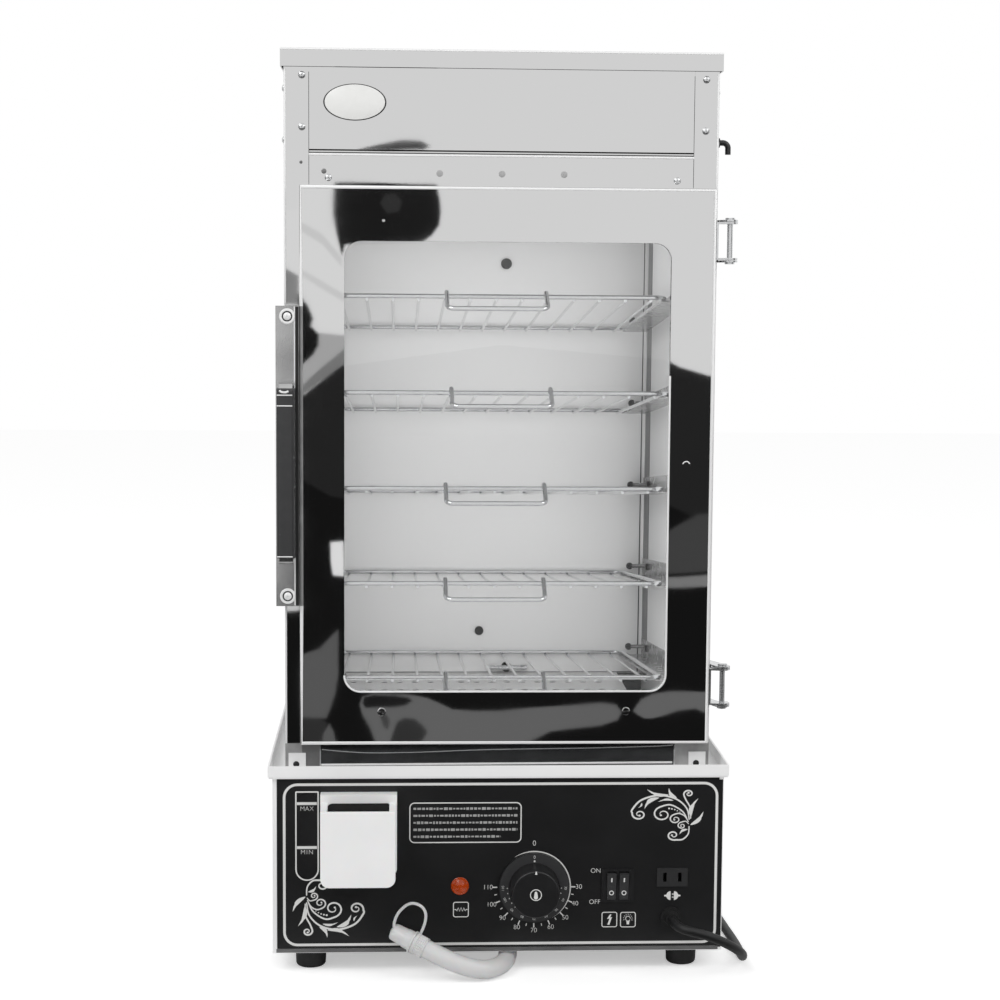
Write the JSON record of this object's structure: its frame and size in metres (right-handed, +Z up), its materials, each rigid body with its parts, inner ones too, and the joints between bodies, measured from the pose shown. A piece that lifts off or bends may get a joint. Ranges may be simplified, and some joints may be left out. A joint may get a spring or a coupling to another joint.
{
  "type": "steamer cabinet",
  "caption": "Table-top electric steamer cabinet with a glazed side-hinged door, sloping wire shelves, a black control base with filler hopper, dial, rocker switches, drain hose and mains cord.",
  "frame": {"origin": "middle of the footprint, on the floor under the feet, measured without the cords", "axes": "+X to the right and +Y to the back as seen from the front, +Z up"},
  "size_m": [0.4097, 0.559, 0.7722],
  "materials": {
    "satin_steel": "satin stainless sheet",
    "polished_steel": "mirror-polished stainless sheet",
    "liner_steel": "bright stainless sheet",
    "screw_steel": "plain steel",
    "wire_steel": "plated round wire",
    "black_paint": "satin black enamel",
    "black_plastic": "satin black moulding",
    "black_gloss": "glossy black moulding",
    "black_rubber": "black rubber",
    "cord_black": "black cord sheath",
    "white_plastic": "white moulding",
    "smoked_window": "dark clear window",
    "amber_lens": "orange faceted lens",
    "clear_glass": "clear glass",
    "hose_grey": "translucent grey hose",
    "clear_plastic": "translucent cap"
  },
  "bodies": {
    "cabinet": {"base_shell": "satin_steel", "bottom_plate": "satin_steel", "feet": "black_rubber", "control_panel": "black_paint", "level_window": "smoked_window", "filler_hopper": "white_plastic", "drip_tray": "satin_steel", "water_tank": "satin_steel", "heating_element": "satin_steel", "float_stem": "satin_steel", "drain_elbow": "satin_steel", "thermostat_body": "satin_steel", "switch_housing": "black_plastic", "socket_outlet": "black_plastic", "indicator_lamp": "amber_lens", "cord_gland": "black_rubber", "corner_posts": "polished_steel", "outer_panels": "polished_steel", "inner_liner": "liner_steel", "top_cover": "polished_steel", "upper_fascia": "polished_steel", "door_header": "polished_steel", "sills": "satin_steel", "steam_plate": "liner_steel", "ceiling_plate": "liner_steel", "lamp_cover": "clear_glass", "lamp_holder": "black_plastic", "cabinet_screws": "screw_steel", "corner_clips": "satin_steel", "wall_fittings": "black_rubber", "thermostat_probe": "screw_steel", "vent_elbow": "black_plastic", "shelf_rails": "liner_steel", "rail_knobs": "black_plastic", "hinge_brackets": "screw_steel", "hinge_pins": "screw_steel", "drain_hose": "hose_grey", "hose_sleeve": "hose_grey", "hose_cap": "clear_plastic", "power_cord": "cord_black", "cord_coil": "cord_black", "plug": "cord_black"},
    "door": {"door_skin": "polished_steel", "door_inner_frame": "polished_steel", "door_glass": "clear_glass", "glass_gasket": "black_rubber", "door_seal": "black_rubber", "door_lugs": "screw_steel", "handle_channel": "polished_steel", "handle_grip": "black_gloss", "handle_screws": "screw_steel"},
    "dial": {"thermostat_knob": "black_plastic"},
    "power_rocker": {"rocker_power": "black_gloss"},
    "lamp_rocker": {"rocker_lamp": "black_gloss"},
    "float": {"float_ball": "white_plastic"},
    "shelf_1": {"shelf_1": "wire_steel"},
    "shelf_2": {"shelf_2": "wire_steel"},
    "shelf_3": {"shelf_3": "wire_steel"},
    "shelf_4": {"shelf_4": "wire_steel"},
    "shelf_5": {"shelf_5": "wire_steel"}
  },
  "joints": [
    {"name": "door_hinge", "type": "hinge", "parent": "cabinet", "child": "door", "pos_m": [0.1903, -0.154, 0.4295], "axis": [0, 0, 1], "range_deg": [0, 170]},
    {"name": "dial_turn", "type": "hinge", "parent": "cabinet", "child": "dial", "pos_m": [0.0301, -0.18, 0.0735], "axis": [0, 1, 0], "range_deg": [0, 270]},
    {"name": "power_rock", "type": "hinge", "parent": "cabinet", "child": "power_rocker", "pos_m": [0.0957, -0.1726, 0.0743], "axis": [-1, 0, 0], "range_deg": [0, 16]},
    {"name": "lamp_rock", "type": "hinge", "parent": "cabinet", "child": "lamp_rocker", "pos_m": [0.1063, -0.1726, 0.0743], "axis": [-1, 0, 0], "range_deg": [0, 16]},
    {"name": "float_rise", "type": "slide", "parent": "cabinet", "child": "float", "axis": [0, 0, 1], "range_m": [0, 0.015]},
    {"name": "shelf_1_slide", "type": "slide", "parent": "cabinet", "child": "shelf_1", "axis": [0, -0.9951, 0.0993], "range_m": [0, 0.007]},
    {"name": "shelf_2_slide", "type": "slide", "parent": "cabinet", "child": "shelf_2", "axis": [0, -0.9951, 0.0993], "range_m": [0, 0.007]},
    {"name": "shelf_3_slide", "type": "slide", "parent": "cabinet", "child": "shelf_3", "axis": [0, -0.9951, 0.0993], "range_m": [0, 0.007]},
    {"name": "shelf_4_slide", "type": "slide", "parent": "cabinet", "child": "shelf_4", "axis": [0, -0.9951, 0.0993], "range_m": [0, 0.007]},
    {"name": "shelf_5_slide", "type": "slide", "parent": "cabinet", "child": "shelf_5", "axis": [0, -0.9951, 0.0993], "range_m": [0, 0.006]}
  ]
}
